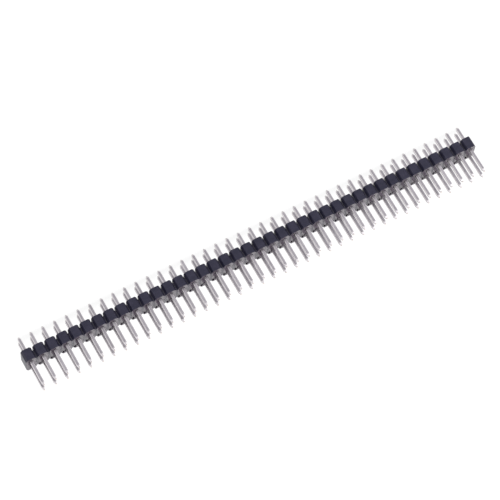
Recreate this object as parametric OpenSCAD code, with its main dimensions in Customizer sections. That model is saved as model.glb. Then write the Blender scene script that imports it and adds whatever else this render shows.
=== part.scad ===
// Straight two-row pin header strip: one moulded insulator with a row of blocks that can
// be broken apart, and square pins pressed through it in pairs.
// +Z runs along the pins towards their long mating ends, +X along the strip and Y across
// the two rows. The origin is on the board seating plane, at the centre of position 1.

/* [Strip] */
// Number of positions along the strip, each with one pin in either row
positions = 40; // [1:1:50]
// Distance from one position to the next
pitch = 2.54; // [2:0.01:4]
// Distance between the two rows of pins
row_spacing = 2.54; // [2:0.01:6]

/* [Insulator] */
// Height of the insulator along the pins
body_h = 2.45; // [1.6:0.05:8]
// Plastic outside each row, from the row's centre line to the long face
row_edge = 1.18; // [1:0.01:2.5]
// Width of the gap between neighbouring blocks
slot_w = 0.3; // [0.1:0.05:0.8]
// Corner chamfer of a block, measured along the strip
corner_x = 0.35; // [0.05:0.05:0.5]
// Corner chamfer of a block, measured across the strip
corner_y = 0.6; // [0.1:0.05:0.9]

/* [Break-off necks] */
// How far the necks between the blocks stand back from the long faces
neck_inset = 0.7; // [0.3:0.05:1.8]
// How far the necks stand back from the board seating plane
neck_board_gap = 0.65; // [0.1:0.05:1]
// How far the necks stand back from the mating side
neck_mating_gap = 0.05; // [0.05:0.05:0.4]

/* [Pins] */
// Side of the square pin
pin_w = 0.64; // [0.4:0.02:0.8]
// Solder tail below the seating plane
tail_len = 3.15; // [1:0.05:8]
// Mating length above the insulator
mating_len = 5.5; // [2:0.1:15]
// Length of the taper at the end of the solder tail
tail_taper = 0.4; // [0.1:0.05:0.8]
// Length of the taper at the mating end
mating_taper = 0.65; // [0.1:0.05:1.5]
// Side of the flat left at either tip
tip_w = 0.28; // [0.1:0.02:0.36]

/* [Hidden] */
block_w = pitch - slot_w;
body_d = row_spacing + 2 * row_edge;
neck_d = body_d - 2 * neck_inset;
neck_h = body_h - neck_board_gap - neck_mating_gap;
pin_top = body_h + mating_len;
row_y = [-row_spacing / 2, row_spacing / 2];
// The pins are a press fit, so a hole is as wide as the pin
hole_w = pin_w;
// What a cut runs past the surface it goes through
overrun = 1;

insulator_colour = [0.07, 0.07, 0.09];
pin_colour = [0.78, 0.77, 0.79];

function position_x(i) = (i - 1) * pitch;
function pair_name(i) = str("pin_pair_", i < 10 ? "0" : "", i);

// Plan of one block: a rectangle with its four corners cut off
module block_plan() {
    hx = block_w / 2;
    hy = body_d / 2;
    polygon([
        [-hx, -hy + corner_y], [-hx + corner_x, -hy], [hx - corner_x, -hy], [hx, -hy + corner_y],
        [hx, hy - corner_y], [hx - corner_x, hy], [-hx + corner_x, hy], [-hx, hy - corner_y]
    ]);
}

// The necks between the blocks are one bar that runs through them all
module neck_bar() {
    translate([0, -neck_d / 2, neck_board_gap])
        cube([position_x(positions), neck_d, neck_h]);
}

module pin_holes() {
    for (i = [1:positions], y = row_y)
        translate([position_x(i) - hole_w / 2, y - hole_w / 2, -overrun])
            cube([hole_w, hole_w, body_h + 2 * overrun]);
}

// One moulding: every block, the necks between them and the holes for the pins
module insulator_body() {
    color(insulator_colour)
        difference() {
            union() {
                for (i = [1:positions])
                    translate([position_x(i), 0, 0])
                        linear_extrude(body_h) block_plan();
                if (positions > 1) neck_bar();
            }
            pin_holes();
        }
}

// Side view of a pin: a straight shaft that narrows to a small flat at both ends
module pin_profile() {
    polygon([
        [-tip_w / 2, -tail_len], [tip_w / 2, -tail_len],
        [pin_w / 2, -tail_len + tail_taper], [pin_w / 2, pin_top - mating_taper],
        [tip_w / 2, pin_top], [-tip_w / 2, pin_top],
        [-pin_w / 2, pin_top - mating_taper], [-pin_w / 2, -tail_len + tail_taper]
    ]);
}

// The same profile seen from two sides gives a square pin with four-sided tips
module square_pin() {
    intersection() {
        rotate([90, 0, 0]) linear_extrude(pin_w, center = true) pin_profile();
        rotate([90, 0, 90]) linear_extrude(pin_w, center = true) pin_profile();
    }
}

// The two pins of one position, one in each row
module pin_pair(i) {
    color(pin_colour)
        for (y = row_y) translate([position_x(i), y, 0]) square_pin();
}

insulator_body();
for (i = [1:positions]) pin_pair(i);
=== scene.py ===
"""Looks of a straight two-row pin header strip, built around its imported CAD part.

The strip stands on the tips of its solder tails: X runs along the strip, Y across the two
rows and Z along the pins towards their long mating ends. Every length is in metres.
"""

import logging
import math
from collections.abc import Iterable, Sequence
from dataclasses import dataclass
from enum import Enum, IntEnum
from typing import Any

import bmesh
import bpy
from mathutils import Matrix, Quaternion, Vector
from mathutils.geometry import tessellate_polygon


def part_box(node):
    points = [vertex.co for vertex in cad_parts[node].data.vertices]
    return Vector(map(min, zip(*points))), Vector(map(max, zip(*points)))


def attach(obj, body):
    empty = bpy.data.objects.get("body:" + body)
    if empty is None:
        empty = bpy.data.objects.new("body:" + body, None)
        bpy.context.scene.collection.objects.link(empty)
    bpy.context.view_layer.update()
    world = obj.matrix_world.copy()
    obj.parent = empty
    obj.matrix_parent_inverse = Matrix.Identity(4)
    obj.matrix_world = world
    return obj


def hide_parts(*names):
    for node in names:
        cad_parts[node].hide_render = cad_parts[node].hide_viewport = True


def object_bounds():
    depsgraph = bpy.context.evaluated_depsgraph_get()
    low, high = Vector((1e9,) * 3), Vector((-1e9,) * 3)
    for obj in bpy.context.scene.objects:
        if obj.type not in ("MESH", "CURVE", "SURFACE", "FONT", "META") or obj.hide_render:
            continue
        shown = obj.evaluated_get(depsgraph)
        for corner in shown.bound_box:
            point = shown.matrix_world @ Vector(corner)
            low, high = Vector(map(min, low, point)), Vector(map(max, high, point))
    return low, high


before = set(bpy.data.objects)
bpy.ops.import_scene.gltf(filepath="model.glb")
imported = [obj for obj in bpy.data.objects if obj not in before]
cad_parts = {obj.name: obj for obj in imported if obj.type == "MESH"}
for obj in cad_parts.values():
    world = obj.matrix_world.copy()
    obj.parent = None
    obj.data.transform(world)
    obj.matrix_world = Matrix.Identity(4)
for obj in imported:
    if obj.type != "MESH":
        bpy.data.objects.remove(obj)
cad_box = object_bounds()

LOG = logging.getLogger("pin_header_strip")
MM = 0.001
BODY = "root"
INSULATOR_NODE = "insulator_body"
PIN_NODE_PREFIX = "pin_pair_"
WHITE = (1.0, 1.0, 1.0)
NO_STRETCH = (1.0, 1.0, 1.0)
FULL = (0.0, 1.0)

Colour = tuple[float, float, float]
Point = tuple[float, float, float]
Span = tuple[float, float]


class CellKind(IntEnum):
    """The three shapes that one position of the insulator comes in."""

    FIRST = 0
    MIDDLE = 1
    LAST = 2


class Side(IntEnum):
    """The two sides of a middle plane, as the sign of the coordinate."""

    LOW = -1
    HIGH = 1


class Mark(str, Enum):
    """Names of the attributes that the meshes carry for their finishes."""

    CELL = "cell_kind"
    WEAR_AND_LIGHT = "wear_and_light_edge"
    # Rounded edges: wear on the insulator, painted highlight on the pin corners; the necks also get
    # painted light.
    SHEARED = "sheared_end"
    # Pin faces painted lighter by which way they look, a painted highlight on the sides.
    SIDE_LIGHT = "side_light_by_face"
    # The mating side: painted lighter as a sheen, with its own gloss and scuffs.
    SHEEN_TOP = "sheen_top_face"
    # Pits and hole rims, painted near black as shade.
    SHADE_PAINTED = "painted_shade"
    TONE = "piece_tone"


# ---------------------------------------------------------------------------------------
# Trees of nodes
# ---------------------------------------------------------------------------------------


class NodeBench:
    """Adds nodes to one node tree and joins their sockets.

    Some nodes have several sockets of one name, and those are told apart by their place.
    """

    BLEND_FIRST, BLEND_SECOND = 2, 3
    MIX_FIRST, MIX_SECOND, MIX_COLOUR = 6, 7, 2
    COMPARE_FIRST, COMPARE_SECOND = 2, 3
    RANDOM_LOW, RANDOM_HIGH, RANDOM_VALUE = 2, 3, 1
    RANDOM_VECTOR_LOW, RANDOM_VECTOR_HIGH = 0, 1

    def __init__(self, tree: bpy.types.NodeTree) -> None:
        """Takes the tree that the nodes go into."""
        self.tree = tree

    def add(self, kind: str, wires: dict[str | int, Any] | None = None,
            **settings: Any) -> bpy.types.Node:
        """Adds one node.

        Args:
            kind: Blender's name for the node type.
            wires: what each input gets, a socket to link or a plain value.
            **settings: properties set on the node before its inputs are wired.

        Returns:
            The new node.
        """
        node = self.tree.nodes.new(kind)
        for key, value in settings.items():
            setattr(node, key, value)
        for key, value in (wires or {}).items():
            self.join(node.inputs[key], value)
        return node

    def join(self, socket: bpy.types.NodeSocket, value: Any) -> None:
        """Links a socket to another one, or sets its value.

        Args:
            socket: the input.
            value: an output socket, or a plain value.
        """
        if isinstance(value, bpy.types.NodeSocket):
            self.tree.links.new(value, socket)
        else:
            socket.default_value = value

    def maths(self, operation: str, *values: Any, clamp: bool = False) -> bpy.types.NodeSocket:
        """Works out a plain sum.

        Args:
            operation: Blender's name for it.
            *values: what it is worked out from, numbers or sockets.
            clamp: whether the result is kept from 0 to 1.

        Returns:
            The result.
        """
        wires = dict(enumerate(values))
        return self.add("ShaderNodeMath", wires, operation=operation, use_clamp=clamp).outputs[0]


class ShaderBench(NodeBench):
    """A bench for surface materials, with the few patterns that the finishes share."""

    def __init__(self, name: str) -> None:
        """Starts an empty material.

        Args:
            name: name of the material.
        """
        self.material = bpy.data.materials.new(name)
        self.material.use_nodes = True
        super().__init__(self.material.node_tree)
        self.tree.nodes.clear()
        self.place = self.add("ShaderNodeTexCoord").outputs["Object"]

    def noise(self, grain: float, detail: float = 2.0,
              stretch: Point = NO_STRETCH) -> bpy.types.NodeSocket:
        """Makes a cloudy pattern on Object coordinates.

        Args:
            grain: size of one patch.
            detail: how many finer layers it has.
            stretch: how much longer a patch is along each axis.

        Returns:
            The pattern, from 0 to 1.
        """
        squeeze = tuple(1.0 / s for s in stretch)
        spot = self.add("ShaderNodeMapping", {"Vector": self.place, "Scale": squeeze})
        wires = {"Vector": spot.outputs["Vector"], "Scale": 1.0 / grain, "Detail": detail}
        return self.add("ShaderNodeTexNoise", wires).outputs["Fac"]

    def span(self, factor: bpy.types.NodeSocket, source: Span,
             target: Span = FULL) -> bpy.types.NodeSocket:
        """Maps one range of a value to another and stops at its ends.

        Args:
            factor: the value.
            source: the range it is read over.
            target: the range it comes out in.

        Returns:
            The mapped value.
        """
        wires = {"Value": factor, "From Min": source[0], "From Max": source[1],
                 "To Min": target[0], "To Max": target[1]}
        return self.add("ShaderNodeMapRange", wires, clamp=True).outputs["Result"]

    def times(self, first: Any, second: Any) -> bpy.types.NodeSocket:
        """Returns the product of two values."""
        return self.maths("MULTIPLY", first, second)

    def mix(self, factor: Any, first: Any, second: Any) -> bpy.types.NodeSocket:
        """Mixes two colours.

        Args:
            factor: 0 for the first colour, 1 for the second.
            first: a colour or a colour socket.
            second: a colour or a colour socket.

        Returns:
            The mixed colour.
        """
        wires = {0: factor, self.MIX_FIRST: opaque(first), self.MIX_SECOND: opaque(second)}
        return self.add("ShaderNodeMix", wires, data_type="RGBA").outputs[self.MIX_COLOUR]

    def blend(self, factor: Any, first: Any, second: Any) -> bpy.types.NodeSocket:
        """Blends two plain values.

        Args:
            factor: 0 for the first value, 1 for the second.
            first: a value or a socket.
            second: a value or a socket.

        Returns:
            The blended value.
        """
        wires = {0: factor, self.BLEND_FIRST: first, self.BLEND_SECOND: second}
        return self.add("ShaderNodeMix", wires, data_type="FLOAT").outputs[0]

    def attribute(self, mark: Mark) -> bpy.types.NodeSocket:
        """Returns the value that the mesh carries under that name."""
        return self.add("ShaderNodeAttribute", attribute_name=mark.value).outputs["Fac"]

    def relief(self, height: bpy.types.NodeSocket, depth: float, strength: Any,
               under: bpy.types.NodeSocket | None = None) -> bpy.types.NodeSocket:
        """Turns a pattern into fine relief.

        Args:
            height: the pattern.
            depth: how deep the pattern is.
            strength: how much of it shows, a number or a socket.
            under: coarser relief that this lies on.

        Returns:
            The bent surface normal.
        """
        wires: dict[str | int, Any] = {"Height": height, "Distance": depth, "Strength": strength}
        if under is not None:
            wires["Normal"] = under
        return self.add("ShaderNodeBump", wires).outputs["Normal"]

    def surface(self, **sockets: Any) -> bpy.types.Material:
        """Ends the material in one Principled shader.

        Args:
            **sockets: what its inputs get, with underscores for the spaces in their names.

        Returns:
            The finished material.
        """
        shader = self.add("ShaderNodeBsdfPrincipled")
        for key, value in sockets.items():
            self.join(shader.inputs[key.replace("_", " ")], opaque(value))
        self.add("ShaderNodeOutputMaterial", {"Surface": shader.outputs["BSDF"]})
        return self.material


def opaque(colour: Any) -> Any:
    """Gives a plain colour its alpha.

    Args:
        colour: a colour, or what else an input may get.

    Returns:
        The colour with its alpha, and anything else as it is.
    """
    if isinstance(colour, tuple) and len(colour) == 3:
        return (*colour, 1.0)
    return colour


class StripRecipe(NodeBench):
    """A geometry tree with named inputs that sets copies of a seed mesh along the strip."""

    def __init__(self, name: str) -> None:
        """Starts an empty geometry tree.

        Args:
            name: name of the tree.
        """
        tree = bpy.data.node_groups.new(name, "GeometryNodeTree")
        tree.is_modifier = True
        super().__init__(tree)
        self.identifiers: dict[str, str] = {}
        self.entry = self.add("NodeGroupInput")
        self.seed = self.take("Seed mesh", "NodeSocketGeometry")
        tree.interface.new_socket("Strip", in_out="OUTPUT", socket_type="NodeSocketGeometry")

    def take(self, name: str, kind: str) -> bpy.types.NodeSocket:
        """Adds a named input to the tree.

        Args:
            name: what the input is called.
            kind: Blender's name for the socket type.

        Returns:
            The socket that carries it inside the tree.
        """
        item = self.tree.interface.new_socket(name, in_out="INPUT", socket_type=kind)
        self.identifiers[name] = item.identifier
        return self.entry.outputs[name]

    def vector(self, x: Any = 0.0, y: Any = 0.0, z: Any = 0.0) -> bpy.types.NodeSocket:
        """Returns a vector made from its three parts."""
        return self.add("ShaderNodeCombineXYZ", {"X": x, "Y": y, "Z": z}).outputs["Vector"]

    def line(self, count: Any, start: bpy.types.NodeSocket,
             step: bpy.types.NodeSocket) -> bpy.types.NodeSocket:
        """Makes a row of points.

        Args:
            count: how many points.
            start: where the first one is.
            step: from one point to the next.

        Returns:
            The row of points.
        """
        wires = {"Count": count, "Start Location": start, "Offset": step}
        return self.add("GeometryNodeMeshLine", wires).outputs["Mesh"]

    def finish(self, geometry: bpy.types.NodeSocket, weld: float = 0.0) -> None:
        """Ends the tree: copies made real, joined where they meet, smooth and in their material.

        Args:
            geometry: the instances.
            weld: how near two corners are to become one, or 0 for copies that stay apart.
        """
        material = self.take("Finish", "NodeSocketMaterial")
        made = self.add("GeometryNodeRealizeInstances", {"Geometry": geometry}).outputs["Geometry"]
        if weld:
            wires = {"Geometry": made, "Distance": weld}
            made = self.add("GeometryNodeMergeByDistance", wires).outputs["Geometry"]
        smooth = self.add("GeometryNodeSetShadeSmooth", {"Geometry": made}).outputs["Geometry"]
        coated = self.add("GeometryNodeSetMaterial", {"Geometry": smooth, "Material": material})
        self.add("NodeGroupOutput", {"Strip": coated.outputs["Geometry"]})

    def grow(self, name: str, seed: bpy.types.Mesh, values: dict[str, Any]) -> bpy.types.Object:
        """Runs the tree on a seed mesh and keeps the result as a plain mesh.

        Args:
            name: name of the finished piece.
            seed: the mesh that is repeated.
            values: what each named input gets.

        Returns:
            The finished piece, with no modifier on it.
        """
        carrier = bpy.data.objects.new(name + "_seed", seed)
        bpy.context.scene.collection.objects.link(carrier)
        modifier = carrier.modifiers.new("copies", "NODES")
        modifier.node_group = self.tree
        for key, value in values.items():
            modifier[self.identifiers[key]] = value
        carrier.modifiers.new("flat_faces", "WEIGHTED_NORMAL").keep_sharp = True
        graph = bpy.context.evaluated_depsgraph_get()
        mesh = bpy.data.meshes.new_from_object(carrier.evaluated_get(graph), depsgraph=graph)
        mesh.name = name
        bpy.data.objects.remove(carrier)
        bpy.data.meshes.remove(seed)
        piece = bpy.data.objects.new(name, mesh)
        bpy.context.scene.collection.objects.link(piece)
        return piece


# ---------------------------------------------------------------------------------------
# Meshes
# ---------------------------------------------------------------------------------------


def neighbours(ring: Sequence[Any]) -> list[tuple[Any, Any]]:
    """Pairs each item of a ring with the next one round."""
    return list(zip(ring, [*ring[1:], *ring[:1]]))


class Shell:
    """A mesh put together from faces given by their corners; equal corners are shared."""

    SAME = 1e-9
    ROUND = 0.5

    def __init__(self) -> None:
        """Starts with no faces."""
        self.mesh = bmesh.new()
        self.corners: dict[tuple[int, ...], bmesh.types.BMVert] = {}
        self.kind = self.mesh.faces.layers.int.new(Mark.CELL.value)
        # Marks for the finishes: wear and painted light on rounded edges, painted light on pin faces,
        # the mating side's painted sheen, and painted shade in pits and hole rims.
        self.wear_and_painted_light = self.mesh.faces.layers.float.new(Mark.WEAR_AND_LIGHT.value)
        self.sheared = self.mesh.faces.layers.float.new(Mark.SHEARED.value)
        self.painted_side_light = self.mesh.faces.layers.float.new(Mark.SIDE_LIGHT.value)
        self.painted_sheen_top = self.mesh.faces.layers.float.new(Mark.SHEEN_TOP.value)
        self.painted_shade = self.mesh.faces.layers.float.new(Mark.SHADE_PAINTED.value)

    def corner(self, point: Sequence[float]) -> bmesh.types.BMVert:
        """Finds the corner at a point, or makes one.

        Args:
            point: where it is.

        Returns:
            The corner.
        """
        key = tuple(round(c / self.SAME) for c in point)
        if key not in self.corners:
            self.corners[key] = self.mesh.verts.new(point)
        return self.corners[key]

    def face(self, points: Iterable[Sequence[float]], outward: Sequence[float]) -> bmesh.types.BMFace:
        """Adds a flat face.

        Args:
            points: its corners in order, either way round.
            outward: roughly where its outside looks.

        Returns:
            The new face.
        """
        face = self.mesh.faces.new([self.corner(p) for p in points])
        face.normal_update()
        if face.normal.dot(Vector(outward)) < 0:
            face.normal_flip()
        return face

    def forget_corners(self) -> None:
        """Starts a new closed shape that shares no corner with the earlier ones."""
        self.corners.clear()

    def soften(self, edges: list[bmesh.types.BMEdge], radius: float, steps: int,
               wear_and_light_amount: float = 1.0) -> list[bmesh.types.BMFace]:
        """Rounds edges and marks the strips that round them for wear and painted light.

        Args:
            edges: the edges.
            radius: how far from the edge the round starts.
            steps: how many strips it has.
            wear_and_light_amount: 1 for edges that rub on the insulator and for pin corners painted as
                highlight, 0 for edges that get neither.

        Returns:
            The strips.
        """
        made = bmesh.ops.bevel(self.mesh, geom=edges, offset=radius, offset_type="OFFSET",
                               segments=steps, profile=self.ROUND, affect="EDGES", clamp_overlap=True)
        for face in made["faces"]:
            face[self.wear_and_painted_light] = wear_and_light_amount
        return made["faces"]

    def mesh_data(self, name: str) -> bpy.types.Mesh:
        """Turns the shell into mesh data and lets go of it.

        Args:
            name: name of the mesh.

        Returns:
            The mesh.
        """
        data = bpy.data.meshes.new(name)
        self.mesh.to_mesh(data)
        self.mesh.free()
        return data


# ---------------------------------------------------------------------------------------
# Finishes
# ---------------------------------------------------------------------------------------


@dataclass(frozen=True)
class MouldedPlastic:
    """Blue-black glass-filled plastic, satin from a lightly spark-textured mould, with a painted sheen
    on the mating side, painted shade in the pits and hole rims, and painted light on the necks.
    """

    name: str = "moulded_plastic"
    deep: Colour = (0.027, 0.026, 0.052)
    hazy: Colour = (0.044, 0.041, 0.072)
    # Lighter colour for worn edges and for the necks painted light.
    wear_and_painted_light: Colour = (0.075, 0.070, 0.095)
    # Painted sheen of the mating side, in a lighter and a darker mottle.
    painted_sheen_top: Colour = (0.068, 0.045, 0.074)
    painted_sheen_top_dark: Colour = (0.035, 0.026, 0.040)
    # Near-black colour painted as shade into the pits and hole rims.
    painted_shade_colour: Colour = (0.002, 0.002, 0.003)
    haze_grain: float = 0.9 * MM
    haze_detail: float = 4.0
    haze_span: Span = (0.35, 0.68)
    flow_stretch: Point = (2.2, 1.0, 1.0)
    texture_grain: float = 0.07 * MM
    texture_detail: float = 3.0
    texture_depth: float = 0.004 * MM
    texture_strength: float = 0.7
    ripple_grain: float = 0.6 * MM
    ripple_depth: float = 0.006 * MM
    ripple_strength: float = 0.6
    scuff_grain: float = 0.3 * MM
    scuff_detail: float = 3.0
    scuff_span: Span = (0.36, 0.66)
    scuff_stretch: Point = (1.0, 2.0, 1.0)
    scuff_depth: float = 0.006 * MM
    scuff_strength: float = 0.5
    gloss: Span = (0.28, 0.42)
    gloss_span: Span = (0.3, 0.7)
    top_gloss: Span = (0.15, 0.28)
    mirror: float = 0.25
    top_mirror: Span = (0.26, 0.14)
    # How strongly the worn edges and the necks' painted light show, in patches.
    wear_and_light_amount: float = 0.55
    wear_and_light_span: Span = (0.3, 0.65)
    wear_and_light_share: Span = (0.25, 1.0)

    def build(self) -> bpy.types.Material:
        """Mixes the finish.

        Returns:
            The material.
        """
        bench = ShaderBench(self.name)
        haze = bench.noise(self.haze_grain, self.haze_detail, self.flow_stretch)
        texture = bench.noise(self.texture_grain, self.texture_detail)
        ripple = bench.noise(self.ripple_grain)
        scuff = bench.noise(self.scuff_grain, self.scuff_detail, self.scuff_stretch)
        scuff = bench.span(scuff, self.scuff_span)
        sheen_top = bench.attribute(Mark.SHEEN_TOP)
        body = bench.mix(bench.span(haze, self.haze_span), self.deep, self.hazy)
        # The mating side is painted lighter and mauve, a painted sheen, mottled by the scuff pattern.
        body = bench.mix(sheen_top, body, bench.mix(scuff, self.painted_sheen_top, self.painted_sheen_top_dark))
        patchy = bench.span(texture, self.wear_and_light_span, self.wear_and_light_share)
        # Worn edges, and necks painted lighter, in patches.
        worn_and_lit = bench.times(bench.attribute(Mark.WEAR_AND_LIGHT), patchy)
        colour = bench.mix(bench.times(worn_and_lit, self.wear_and_light_amount), body, self.wear_and_painted_light)
        # Pit walls and hole rims are painted near black, a painted shade, and lose their reflection.
        painted_shade = bench.attribute(Mark.SHADE_PAINTED)
        colour = bench.mix(painted_shade, colour, self.painted_shade_colour)
        mirror = bench.blend(sheen_top, self.mirror, bench.span(scuff, FULL, self.top_mirror))
        slope = bench.relief(ripple, self.ripple_depth, self.ripple_strength)
        scuffed = bench.times(sheen_top, self.scuff_strength)
        slope = bench.relief(scuff, self.scuff_depth, scuffed, under=slope)
        slope = bench.relief(texture, self.texture_depth, self.texture_strength, under=slope)
        roughness = bench.span(haze, self.gloss_span, self.gloss)
        return bench.surface(
            Base_Color=colour,
            Roughness=bench.blend(sheen_top, roughness, bench.span(scuff, FULL, self.top_gloss)),
            Specular_IOR_Level=bench.blend(painted_shade, mirror, 0.0),
            Normal=slope,
        )


@dataclass(frozen=True)
class TinPlate:
    """Bright tin over brass wire: drawn streaks, dull patches, and bare metal where it was cut; painted
    highlights on the sides and rounded corners of each pin.
    """

    name: str = "tin_plate"
    bright: Colour = (0.42, 0.395, 0.43)
    dull: Colour = (0.30, 0.28, 0.31)
    # Near-white painted highlight along the rounded corners of the pins.
    bare: Colour = (0.52, 0.42, 0.36)
    # Painted highlight on the faces of the pins, strongest on the two sides.
    wear_and_painted_light: Colour = (0.70, 0.67, 0.68)
    painted_side_light: Colour = (0.66, 0.63, 0.64)
    patch_grain: float = 0.8 * MM
    patch_detail: float = 4.0
    patch_span: Span = (0.38, 0.7)
    patch_share: Span = (0.0, 0.6)
    tone_share: Span = (0.0, 0.7)
    streak_grain: float = 0.05 * MM
    streak_stretch: Point = (1.0, 1.0, 30.0)
    streak_span: Span = (0.5, 0.8)
    streak_share: Span = (0.0, 0.35)
    streak_depth: float = 0.002 * MM
    streak_strength: float = 0.5
    dent_grain: float = 0.35 * MM
    dent_depth: float = 0.004 * MM
    dent_strength: float = 0.5
    gloss: Span = (0.30, 0.44)
    gloss_span: Span = (0.3, 0.7)

    def build(self) -> bpy.types.Material:
        """Mixes the finish.

        Returns:
            The material.
        """
        bench = ShaderBench(self.name)
        patch = bench.noise(self.patch_grain, self.patch_detail)
        streak = bench.noise(self.streak_grain, stretch=self.streak_stretch)
        dent = bench.noise(self.dent_grain)
        tone = bench.span(bench.attribute(Mark.TONE), FULL, self.tone_share)
        patchy = bench.span(patch, self.patch_span, self.patch_share)
        plate = bench.mix(bench.maths("ADD", patchy, tone, clamp=True), self.bright, self.dull)
        plate = bench.mix(bench.span(streak, self.streak_span, self.streak_share), plate, self.dull)
        # Pin faces painted lighter by which way they look, a painted highlight.
        plate = bench.mix(bench.attribute(Mark.SIDE_LIGHT), plate, self.painted_side_light)
        # Rounded corners painted near white, a painted highlight.
        plate = bench.mix(bench.attribute(Mark.WEAR_AND_LIGHT), plate, self.wear_and_painted_light)
        colour = bench.mix(bench.attribute(Mark.SHEARED), plate, self.bare)
        slope = bench.relief(dent, self.dent_depth, self.dent_strength)
        slope = bench.relief(streak, self.streak_depth, self.streak_strength, under=slope)
        return bench.surface(
            Base_Color=colour,
            Metallic=1.0,
            Roughness=bench.span(patch, self.gloss_span, self.gloss),
            Normal=slope,
        )


@dataclass(frozen=True)
class PaleFloor:
    """Matt white floor that reads as a plain white ground and keeps the strip's shadow."""

    name: str = "pale_floor"
    colour: Colour = (0.22, 0.22, 0.22)
    lift: float = 0.88

    def build(self) -> bpy.types.Material:
        """Mixes the finish.

        Returns:
            The material.
        """
        bench = ShaderBench(self.name)
        matt = bench.add("ShaderNodeBsdfDiffuse", {"Color": opaque(self.colour)})
        strength = bench.times(seen_as_ground(bench), self.lift)
        glow = bench.add("ShaderNodeEmission", {"Strength": strength})
        both = bench.add("ShaderNodeAddShader",
                         {0: matt.outputs["BSDF"], 1: glow.outputs["Emission"]})
        bench.add("ShaderNodeOutputMaterial", {"Surface": both.outputs["Shader"]})
        return bench.material


def seen_as_ground(bench: NodeBench) -> bpy.types.NodeSocket:
    """Tells the rays that show the white ground from those that light the strip.

    Args:
        bench: the tree that the nodes go into.

    Returns:
        1 for camera, glossy and transmission rays, else 0.
    """
    rays = bench.add("ShaderNodeLightPath").outputs
    mirrored = bench.maths("ADD", rays["Is Glossy Ray"], rays["Is Transmission Ray"], clamp=True)
    return bench.maths("ADD", rays["Is Camera Ray"], mirrored, clamp=True)


# ---------------------------------------------------------------------------------------
# The strip
# ---------------------------------------------------------------------------------------


@dataclass(frozen=True)
class StripSizes:
    """What the pins and the insulator share, read from the boxes of the CAD nodes."""

    pin_nodes: tuple[str, ...]
    pitch: float
    row_spacing: float
    pin_width: float
    first_x: float
    tail_tip: float
    mating_tip: float
    insulator_low: Vector
    insulator_high: Vector

    @classmethod
    def from_frame(cls) -> "StripSizes":
        """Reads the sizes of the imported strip.

        Returns:
            The sizes.
        """
        pins = sorted(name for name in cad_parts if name.startswith(PIN_NODE_PREFIX))
        low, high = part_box(pins[0])
        last_low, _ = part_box(pins[-1])
        width = high.x - low.x
        insulator_low, insulator_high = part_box(INSULATOR_NODE)
        return cls(
            pin_nodes=tuple(pins),
            pitch=(last_low.x - low.x) / (len(pins) - 1),
            row_spacing=high.y - low.y - width,
            pin_width=width,
            first_x=(low.x + high.x) / 2,
            tail_tip=low.z,
            mating_tip=high.z,
            insulator_low=insulator_low,
            insulator_high=insulator_high,
        )

    @property
    def positions(self) -> int:
        """How many positions the strip has."""
        return len(self.pin_nodes)


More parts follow.
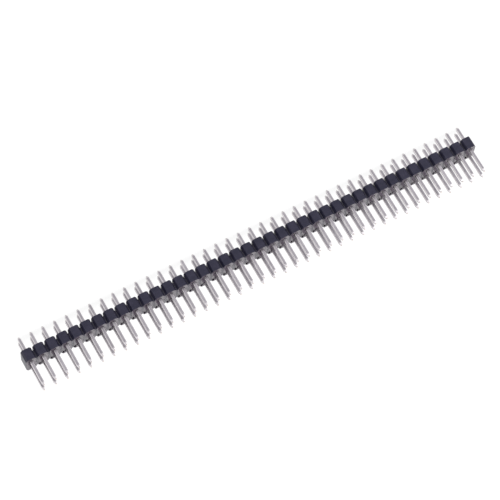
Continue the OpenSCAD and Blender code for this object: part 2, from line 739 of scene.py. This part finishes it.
@dataclass
class Insulator:
    """The moulded insulator: one eight-sided block a position, joined by break-off necks."""

    sizes: StripSizes
    finish: MouldedPlastic
    corner_along: float = 0.35 * MM
    corner_across: float = 0.6 * MM
    neck_inset: float = 0.7 * MM
    neck_board_gap: float = 0.65 * MM
    neck_mating_gap: float = 0.05 * MM
    # How much lighter the necks are painted, painted light against the shade between the blocks.
    neck_painted_light: float = 2.0
    edge_radius: float = 0.045 * MM
    edge_steps: int = 2
    hole_clearance: float = 0.008 * MM
    hole_lead: float = 0.11 * MM
    # How dark the hole rims are painted, a painted shade round each pin.
    hole_shade: float = 0.6
    pit_spot: tuple[float, float] = (0.78 * MM, 1.48 * MM)
    pit_reach: tuple[float, float] = (0.23 * MM, 0.38 * MM)
    pit_depth: float = 0.9 * MM
    pit_sides: int = 8
    weld: float = 0.002 * MM
    least_bend: float = math.radians(15)
    least_upward: float = 0.5

    @property
    def half_width(self) -> float:
        """Half a block, measured along the strip."""
        return self.sizes.first_x - self.sizes.insulator_low.x

    @property
    def half_depth(self) -> float:
        """Half a block, measured across the strip."""
        return (self.sizes.insulator_high.y - self.sizes.insulator_low.y) / 2

    @property
    def flat_reach(self) -> tuple[float, float]:
        """How far the flat sides of a block reach from its middle, along and across."""
        return self.half_width - self.corner_along, self.half_depth - self.corner_across

    @property
    def heights(self) -> tuple[float, float]:
        """Board side and mating side."""
        return self.sizes.insulator_low.z, self.sizes.insulator_high.z

    @property
    def half_hole(self) -> float:
        """Half a pin hole."""
        return self.sizes.pin_width / 2 + self.hole_clearance

    def build(self) -> bpy.types.Object:
        """Makes the insulator, in the place of its CAD node.

        Returns:
            The finished piece.
        """
        piece = self.recipe().grow(
            "insulator",
            self.seed(),
            {"Positions": self.sizes.positions, "Pitch": self.sizes.pitch,
             "First position": self.sizes.first_x, "Finish": self.finish.build()},
        )
        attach(piece, BODY)
        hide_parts(INSULATOR_NODE)
        return piece

    def recipe(self) -> StripRecipe:
        """Sets the first, the middle and the last block in a row.

        Returns:
            The tree that does it.
        """
        recipe = StripRecipe("insulator_blocks")
        positions = recipe.take("Positions", "NodeSocketInt")
        pitch = recipe.take("Pitch", "NodeSocketFloat")
        first = recipe.take("First position", "NodeSocketFloat")
        step = recipe.vector(x=pitch)
        second = recipe.maths("ADD", first, pitch)
        last = recipe.maths("MULTIPLY_ADD", recipe.maths("SUBTRACT", positions, 1.0), pitch, first)
        rows = {
            CellKind.FIRST: (1, first),
            CellKind.MIDDLE: (recipe.maths("SUBTRACT", positions, 2.0), second),
            CellKind.LAST: (1, last),
        }
        kind = recipe.add("GeometryNodeInputNamedAttribute", {"Name": Mark.CELL.value},
                          data_type="INT").outputs["Attribute"]
        joined = recipe.add("GeometryNodeJoinGeometry")
        for cell, (count, start) in rows.items():
            wires = {recipe.COMPARE_FIRST: kind, recipe.COMPARE_SECOND: int(cell)}
            chosen = recipe.add("FunctionNodeCompare", wires, data_type="INT", operation="EQUAL")
            wires = {"Geometry": recipe.seed, "Selection": chosen.outputs["Result"]}
            shape = recipe.add("GeometryNodeSeparateGeometry", wires, domain="FACE")
            spots = recipe.line(count, recipe.vector(x=start), step)
            copies = recipe.add("GeometryNodeInstanceOnPoints",
                                {"Points": spots, "Instance": shape.outputs["Selection"]})
            recipe.tree.links.new(copies.outputs["Instances"], joined.inputs["Geometry"])
        recipe.finish(joined.outputs["Geometry"], self.weld)
        return recipe

    def seed(self) -> bpy.types.Mesh:
        """Makes one mesh with the three kinds of block, all at position 1.

        Returns:
            The mesh.
        """
        shell = Shell()
        for cell in CellKind:
            self.add_block(shell, cell)
        self.round_edges(shell)
        return shell.mesh_data("insulator_seed")

    def plan(self) -> list[tuple[float, float]]:
        """Works out the outline of a block, with a corner at the middle of each end.

        Returns:
            Its corners, anticlockwise from the lowest.
        """
        x, y = self.half_width, self.half_depth
        near_x, near_y = self.flat_reach
        return [(-near_x, -y), (near_x, -y), (x, -near_y), (x, 0.0), (x, near_y),
                (near_x, y), (-near_x, y), (-x, near_y), (-x, 0.0), (-x, -near_y)]

    def add_block(self, shell: Shell, cell: CellKind) -> None:
        """Adds one block with its pin holes and the halves of its necks.

        Args:
            shell: where the faces go.
            cell: which of the three kinds of block.
        """
        shell.forget_corners()
        before = set(shell.mesh.faces)
        necks = {Side.LOW: cell is not CellKind.FIRST, Side.HIGH: cell is not CellKind.LAST}
        low, high = self.heights
        self.add_cap(shell, low, (0.0, 0.0, -1.0), pitted=False)
        self.add_cap(shell, high, (0.0, 0.0, 1.0), pitted=necks[Side.HIGH])
        for (x0, y0), (x1, y1) in neighbours(self.plan()):
            if x0 != x1 or abs(x0) != self.half_width:
                outward = (y1 - y0, x0 - x1, 0.0)
                shell.face([(x0, y0, low), (x1, y1, low), (x1, y1, high), (x0, y0, high)], outward)
        for side, has_neck in necks.items():
            self.add_end_wall(shell, side, has_neck)
        for row in Side:
            self.add_hole(shell, row)
        for face in set(shell.mesh.faces) - before:
            face[shell.kind] = int(cell)
            # Faces near the top that look up get the painted sheen of the mating side, with its own
            # gloss and scuffs.
            near_top = face.calc_center_median().z > high - self.hole_lead
            face[shell.painted_sheen_top] = float(near_top and face.normal.z > self.least_upward)

    def hole_corners(self, row: Side, z: float) -> list[Point]:
        """Works out the corners of a pin hole.

        Args:
            row: which of the two rows.
            z: their height.

        Returns:
            The corners in order, the two nearest the middle plane first.
        """
        middle, half = row * self.sizes.row_spacing / 2, self.half_hole
        near, far = middle - row * half, middle + row * half
        return [(-half, near, z), (half, near, z), (half, far, z), (-half, far, z)]

    def add_cap(self, shell: Shell, z: float, outward: Point, pitted: bool) -> None:
        """Adds the board side or the mating side, open at the two pin holes.

        Args:
            shell: where the faces go.
            z: its height.
            outward: where its outside looks.
            pitted: whether the small pit of the mould is in it.
        """
        x, y = self.half_width, self.half_depth
        near_x, near_y = self.flat_reach
        for row in Side:
            q0, q1, q2, q3 = self.hole_corners(row, z)
            a, b = (-x, 0.0, z), (x, 0.0, z)
            c, d = (x, row * near_y, z), (near_x, row * y, z)
            e, f = (-near_x, row * y, z), (-x, row * near_y, z)
            for ring in ([a, b, q1, q0], [d, e, q3, q2], [e, f, a, q0, q3]):
                shell.face(ring, outward)
            beside = [b, c, d, q2, q1]
            if pitted and row is Side.HIGH:
                self.add_pit(shell, beside, outward)
            else:
                shell.face(beside, outward)

    def add_pit(self, shell: Shell, ring: list[Point], outward: Point) -> None:
        """Adds one flat part of a cap with the small oval pit in it, painted near black inside as shade.

        Args:
            shell: where the faces go.
            ring: the corners of the flat part.
            outward: where its outside looks.
        """
        z = ring[0][2]
        turns = [math.tau * k / self.pit_sides for k in range(self.pit_sides)]
        rim = [(self.pit_spot[0] + self.pit_reach[0] * math.cos(t),
                self.pit_spot[1] + self.pit_reach[1] * math.sin(t), z) for t in turns]
        flat = ring + rim
        for corners in tessellate_polygon([[Vector(p) for p in loop] for loop in (ring, rim)]):
            shell.face([flat[k] for k in corners], outward)
        sunk = [(x, y, z - self.pit_depth) for x, y, _ in rim]
        inside = [shell.face(sunk, outward)]
        middle = Vector((*self.pit_spot, z))
        for (first, first_sunk), (second, second_sunk) in neighbours(list(zip(rim, sunk))):
            inward = middle - (Vector(first) + Vector(second)) / 2
            inside.append(shell.face([first, second, second_sunk, first_sunk], inward))
        # The walls and floor of the pit are painted near black, a painted shade.
        for face in inside:
            face[shell.painted_shade] = 1.0

    def add_end_wall(self, shell: Shell, side: Side, has_neck: bool) -> None:
        """Adds the wall that faces the next block, plain or with half a neck on it.

        Args:
            shell: where the faces go.
            side: which way along the strip the wall looks.
            has_neck: whether a neck joins it to the next block.
        """
        x = side * self.half_width
        _, near_y = self.flat_reach
        low, high = self.heights
        outward = (float(side), 0.0, 0.0)
        bottom = [(x, -near_y, low), (x, 0.0, low), (x, near_y, low)]
        top = [(x, near_y, high), (x, 0.0, high), (x, -near_y, high)]
        if not has_neck:
            shell.face(bottom + top, outward)
            return
        neck_y = self.half_depth - self.neck_inset
        neck_low, neck_high = low + self.neck_board_gap, high - self.neck_mating_gap
        neck = [(-neck_y, neck_low), (neck_y, neck_low), (neck_y, neck_high), (-neck_y, neck_high)]
        root = [(x, y, z) for y, z in neck]
        shell.face(bottom + [root[1], root[0]], outward)
        shell.face(top + [root[3], root[2]], outward)
        shell.face([bottom[2], top[0], root[2], root[1]], outward)
        shell.face([top[2], bottom[0], root[0], root[3]], outward)
        end = side * self.sizes.pitch / 2
        middle_z = (neck_low + neck_high) / 2
        for (y0, z0), (y1, z1) in neighbours(neck):
            away = (0.0, (y0 + y1) / 2, (z0 + z1) / 2 - middle_z)
            wall = shell.face([(x, y0, z0), (x, y1, z1), (end, y1, z1), (end, y0, z0)], away)
            # The neck's walls are painted lighter, painted light on a web that sits in shade between the
            # blocks.
            wall[shell.wear_and_painted_light] = self.neck_painted_light

    def add_hole(self, shell: Shell, row: Side) -> None:
        """Adds the four walls of a pin hole.

        Args:
            shell: where the faces go.
            row: which of the two rows.
        """
        low, high = self.heights
        middle = Vector((0.0, row * self.sizes.row_spacing / 2, 0.0))
        corners = [Vector(c) for c in self.hole_corners(row, 0.0)]
        for first, second in neighbours(corners):
            inward = middle - (first + second) / 2
            shell.face([first + Vector((0, 0, z)) for z in (low, high)]
                       + [second + Vector((0, 0, z)) for z in (high, low)], inward)

    def round_edges(self, shell: Shell) -> None:
        """Breaks the rims of the holes, painted darker as shade, and rounds every outer edge.

        Args:
            shell: the mesh with all its faces.
        """
        reach = self.sizes.pin_width
        rows = [Vector((0.0, row * self.sizes.row_spacing / 2)) for row in Side]
        pit, pit_reach = Vector(self.pit_spot), max(self.pit_reach) + self.edge_radius

        def at_pit(edge: bmesh.types.BMEdge) -> bool:
            """Tells whether an edge belongs to the pit."""
            return all((v.co.xy - pit).length < pit_reach for v in edge.verts)

        def at_hole(edge: bmesh.types.BMEdge) -> bool:
            """Tells whether an edge belongs to a pin hole."""
            gaps = [min((v.co.xy - row).length for row in rows) for v in edge.verts]
            return not at_pit(edge) and max(gaps) < reach

        def is_level(edge: bmesh.types.BMEdge) -> bool:
            """Tells whether both ends of an edge are at one height."""
            return abs(edge.verts[0].co.z - edge.verts[1].co.z) < Shell.SAME

        bends = [e for e in shell.mesh.edges if e.calc_face_angle_signed(0.0) > self.least_bend]
        rims = [e for e in bends if at_hole(e) and is_level(e)]
        outer = [e for e in bends if not at_hole(e) and not at_pit(e)]
        shell.soften(outer, self.edge_radius, self.edge_steps)
        rims = [e for e in rims if e.is_valid]
        # The broken rims of the holes get no wear and are painted darker, a painted shade round each
        # pin.
        for face in shell.soften(rims, self.hole_lead, steps=1, wear_and_light_amount=0.0):
            face[shell.painted_sheen_top], face[shell.painted_shade] = 0.0, self.hole_shade


@dataclass
class SquarePins:
    """The square pins, pressed through the insulator in two rows."""

    sizes: StripSizes
    finish: TinPlate
    tail_taper: float = 0.4 * MM
    mating_taper: float = 0.65 * MM
    tip_width: float = 0.28 * MM
    edge_radius: float = 0.1 * MM
    edge_steps: int = 3
    end_radius: float = 0.03 * MM
    lean_room: float = 0.002 * MM
    # How much painted light the back and the two tapered points get; the sides get full and the front
    # none.
    back_painted_light: float = 0.55
    tail_point_painted_light: float = 0.75
    mating_point_painted_light: float = 0.45
    lean: float = math.radians(0.22)
    twist: float = math.radians(1.0)
    random_seed: int = 7
    least_bend: float = math.radians(30)

    def build(self) -> bpy.types.Object:
        """Makes the pins, in the place of their CAD nodes.

        Returns:
            The finished piece.
        """
        piece = self.recipe().grow(
            "square_pins",
            self.seed(),
            {"Positions": self.sizes.positions, "Pitch": self.sizes.pitch,
             "First position": self.sizes.first_x, "Row spacing": self.sizes.row_spacing,
             "Lean": self.lean, "Twist": self.twist, "Random seed": self.random_seed,
             "Finish": self.finish.build()},
        )
        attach(piece, BODY)
        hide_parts(*self.sizes.pin_nodes)
        return piece

    def recipe(self) -> StripRecipe:
        """Sets the pins in two rows, each a hair out of true.

        Returns:
            The tree that does it.
        """
        recipe = StripRecipe("pin_rows")
        positions = recipe.take("Positions", "NodeSocketInt")
        pitch = recipe.take("Pitch", "NodeSocketFloat")
        first = recipe.take("First position", "NodeSocketFloat")
        spacing = recipe.take("Row spacing", "NodeSocketFloat")
        lean = recipe.take("Lean", "NodeSocketFloat")
        twist = recipe.take("Twist", "NodeSocketFloat")
        seed = recipe.take("Random seed", "NodeSocketInt")
        rows = recipe.add("GeometryNodeJoinGeometry")
        for row in Side:
            start = recipe.vector(x=first, y=recipe.maths("MULTIPLY", spacing, row / 2))
            line = recipe.line(positions, start, recipe.vector(x=pitch))
            recipe.tree.links.new(line, rows.inputs["Geometry"])
        limit = recipe.vector(lean, lean, twist)
        lowest = recipe.add("ShaderNodeVectorMath", {0: limit, "Scale": -1.0}, operation="SCALE")
        wires = {recipe.RANDOM_VECTOR_LOW: lowest.outputs["Vector"],
                 recipe.RANDOM_VECTOR_HIGH: limit, "Seed": seed}
        turn = recipe.add("FunctionNodeRandomValue", wires, data_type="FLOAT_VECTOR")
        turned = recipe.add("FunctionNodeEulerToRotation", {"Euler": turn.outputs["Value"]})
        copies = recipe.add("GeometryNodeInstanceOnPoints",
                            {"Points": rows.outputs["Geometry"], "Instance": recipe.seed,
                             "Rotation": turned.outputs["Rotation"]})
        wires = {recipe.RANDOM_LOW: 0.0, recipe.RANDOM_HIGH: 1.0, "Seed": seed}
        tone = recipe.add("FunctionNodeRandomValue", wires, data_type="FLOAT")
        wires = {"Geometry": copies.outputs["Instances"], "Name": Mark.TONE.value,
                 "Value": tone.outputs[recipe.RANDOM_VALUE]}
        toned = recipe.add("GeometryNodeStoreNamedAttribute", wires,
                           data_type="FLOAT", domain="INSTANCE")
        recipe.finish(toned.outputs["Geometry"])
        return recipe

    def painted_light_of(self, normal: Vector) -> float:
        """Tells how much painted light a face of the pin gets, by where it looks: the two sides most,
        the front least.

        Args:
            normal: where the face looks.

        Returns:
            1 for a face painted fully lit, 0 for the front, which gets none.
        """
        if normal.z < -Shell.SAME:
            return self.tail_point_painted_light
        if normal.z > Shell.SAME:
            return self.mating_point_painted_light
        if abs(normal.x) > abs(normal.y):
            return 1.0
        return self.back_painted_light if normal.y > 0 else 0.0

    def seed(self) -> bpy.types.Mesh:
        """Makes one pin on the Z axis.

        Returns:
            Its mesh.
        """
        half, tip = self.sizes.pin_width / 2, self.tip_width / 2
        low, high = self.sizes.tail_tip + self.lean_room, self.sizes.mating_tip - self.lean_room
        levels = [(low, tip), (low + self.tail_taper, half),
                  (high - self.mating_taper, half), (high, tip)]
        shell = Shell()
        loops = [[(-w, -w, z), (w, -w, z), (w, w, z), (-w, w, z)] for z, w in levels]
        for loop, next_loop in zip(loops, loops[1:]):
            for (below, above), (below_next, above_next) in neighbours(list(zip(loop, next_loop))):
                outward = (below[0] + below_next[0], below[1] + below_next[1], 0.0)
                shell.face([below, below_next, above_next, above], outward)
        for face in shell.mesh.faces:
            face[shell.painted_side_light] = self.painted_light_of(face.normal)
        ends = [shell.face(loops[0], (0.0, 0.0, -1.0)), shell.face(loops[-1], (0.0, 0.0, 1.0))]
        for end in ends:
            end[shell.sheared] = 1.0

        def at_end(edge: bmesh.types.BMEdge) -> bool:
            """Tells whether an edge lies round one of the two flat ends."""
            return any(all(abs(v.co.z - z) < Shell.SAME for v in edge.verts) for z in (low, high))

        def sharp_edges(ends: bool) -> list[bmesh.types.BMEdge]:
            """Returns the sharp edges round the flat ends, or all the others."""
            sharp = [e for e in shell.mesh.edges if e.calc_face_angle(0.0) > self.least_bend]
            return [e for e in sharp if at_end(e) is ends]

        # Rounded corners and rounded ends are marked for the painted highlight.
        shell.soften(sharp_edges(ends=False), self.edge_radius, self.edge_steps)
        shell.soften(sharp_edges(ends=True), self.end_radius, steps=1)
        return shell.mesh_data("pin_seed")


# ---------------------------------------------------------------------------------------
# The studio
# ---------------------------------------------------------------------------------------


def direction(azimuth: float, elevation: float) -> Vector:
    """Points from the strip out to a place around it.

    Args:
        azimuth: degrees round from the -Y side towards +X.
        elevation: degrees above the horizon.

    Returns:
        A vector of length 1.
    """
    a, e = math.radians(azimuth), math.radians(elevation)
    return Vector((math.sin(a) * math.cos(e), -math.cos(a) * math.cos(e), math.sin(e)))


@dataclass(frozen=True)
class Softbox:
    """A soft rectangular lamp aimed at the strip."""

    name: str
    azimuth: float
    elevation: float
    distance: float
    size: tuple[float, float]
    radiance: float

    def build(self, target: Vector) -> bpy.types.Object:
        """Sets up the lamp.

        Args:
            target: what it is aimed at.

        Returns:
            The lamp.
        """
        light = bpy.data.lights.new(self.name, "AREA")
        light.shape = "RECTANGLE"
        light.size, light.size_y = self.size
        light.energy = self.radiance * math.pi * self.size[0] * self.size[1]
        lamp = bpy.data.objects.new(self.name, light)
        bpy.context.scene.collection.objects.link(lamp)
        outward = direction(self.azimuth, self.elevation)
        lamp.location = target + outward * self.distance
        lamp.rotation_mode = "QUATERNION"
        lamp.rotation_quaternion = (-outward).to_track_quat("-Z", "Y")
        return lamp


@dataclass(frozen=True)
class Viewpoint:
    """The camera: a long lens that looks down on the strip, rolled far over."""

    azimuth: float = 14.789
    elevation: float = 20.225
    roll: float = 149.080
    distance: float = 461.11 * MM
    lens: float = 167.853
    sensor: float = 36.0
    aim: Point = (0.602 * MM, -0.400 * MM, -1.466 * MM)

    def build(self, middle: Vector) -> bpy.types.Object:
        """Sets up the camera.

        Args:
            middle: the middle of the strip's box, which the aim is measured from.

        Returns:
            The camera.
        """
        data = bpy.data.cameras.new("camera")
        data.lens, data.sensor_width = self.lens, self.sensor
        camera = bpy.data.objects.new("camera", data)
        bpy.context.scene.collection.objects.link(camera)
        outward = direction(self.azimuth, self.elevation)
        camera.location = middle + Vector(self.aim) + outward * self.distance
        camera.rotation_mode = "QUATERNION"
        upright = (-outward).to_track_quat("-Z", "Y")
        camera.rotation_quaternion = upright @ Quaternion((0.0, 0.0, 1.0), math.radians(self.roll))
        bpy.context.scene.camera = camera
        return camera


@dataclass
class Studio:
    """Pale floor, soft lamps and a white surround."""

    floor: PaleFloor
    softboxes: Sequence[Softbox]
    floor_size: float = 6.0
    surround: float = 0.55

    def build(self, low: Vector, high: Vector) -> None:
        """Sets up the floor, the lamps, the surround and the plain colour handling.

        Args:
            low: the lowest corner of the strip's box.
            high: its highest corner.
        """
        middle = (low + high) / 2
        self.lay_floor(middle, low.z)
        for softbox in self.softboxes:
            softbox.build(middle)
        self.light_surround()
        bpy.context.scene.view_settings.view_transform = "Standard"

    def lay_floor(self, middle: Vector, z: float) -> None:
        """Lays the floor.

        Args:
            middle: what it is centred under.
            z: its height, where the tips of the solder tails stand.
        """
        half = self.floor_size / 2
        x, y = middle.x, middle.y
        corners = [(x - half, y - half, z), (x + half, y - half, z),
                   (x + half, y + half, z), (x - half, y + half, z)]
        mesh = bpy.data.meshes.new("floor")
        mesh.from_pydata(corners, [], [(0, 1, 2, 3)])
        mesh.materials.append(self.floor.build())
        floor = bpy.data.objects.new("floor", mesh)
        bpy.context.scene.collection.objects.link(floor)

    def light_surround(self) -> None:
        """Makes the surround white to look at and dimmer as a source of light."""
        world = bpy.data.worlds.new("surround")
        bpy.context.scene.world = world
        world.use_nodes = True
        world.node_tree.nodes.clear()
        bench = NodeBench(world.node_tree)
        strength = bench.maths("MULTIPLY_ADD", seen_as_ground(bench), 1.0 - self.surround, self.surround)
        glow = bench.add("ShaderNodeBackground", {"Color": opaque(WHITE), "Strength": strength})
        bench.add("ShaderNodeOutputWorld", {"Surface": glow.outputs["Background"]})


SOFTBOXES = (
    Softbox("softbox_front", azimuth=-38.0, elevation=14.0, distance=0.4,
            size=(0.42, 0.22), radiance=2.15),
    Softbox("softbox_rear", azimuth=195.0, elevation=24.0, distance=0.9,
            size=(0.9, 0.45), radiance=1.0),
    Softbox("softbox_top", azimuth=0.0, elevation=88.0, distance=0.9,
            size=(0.8, 0.8), radiance=1.4),
    Softbox("softbox_fill", azimuth=50.0, elevation=8.0, distance=0.6,
            size=(0.4, 0.3), radiance=1.6),
)


def main() -> None:
    """Builds the strip and the studio round it, and reports each piece."""
    logging.basicConfig(level=logging.INFO, format="%(name)s: %(message)s")
    sizes = StripSizes.from_frame()
    LOG.info("%d positions, pitch %.3f mm, pins %.3f mm",
             sizes.positions, sizes.pitch / MM, sizes.pin_width / MM)
    for builder in (Insulator(sizes, MouldedPlastic()), SquarePins(sizes, TinPlate())):
        piece = builder.build()
        LOG.info("%s: %d faces", piece.name, len(piece.data.polygons))
    low, high = cad_box
    Studio(PaleFloor(), SOFTBOXES).build(low, high)
    Viewpoint().build((low + high) / 2)


if __name__ == "__main__":
    main()
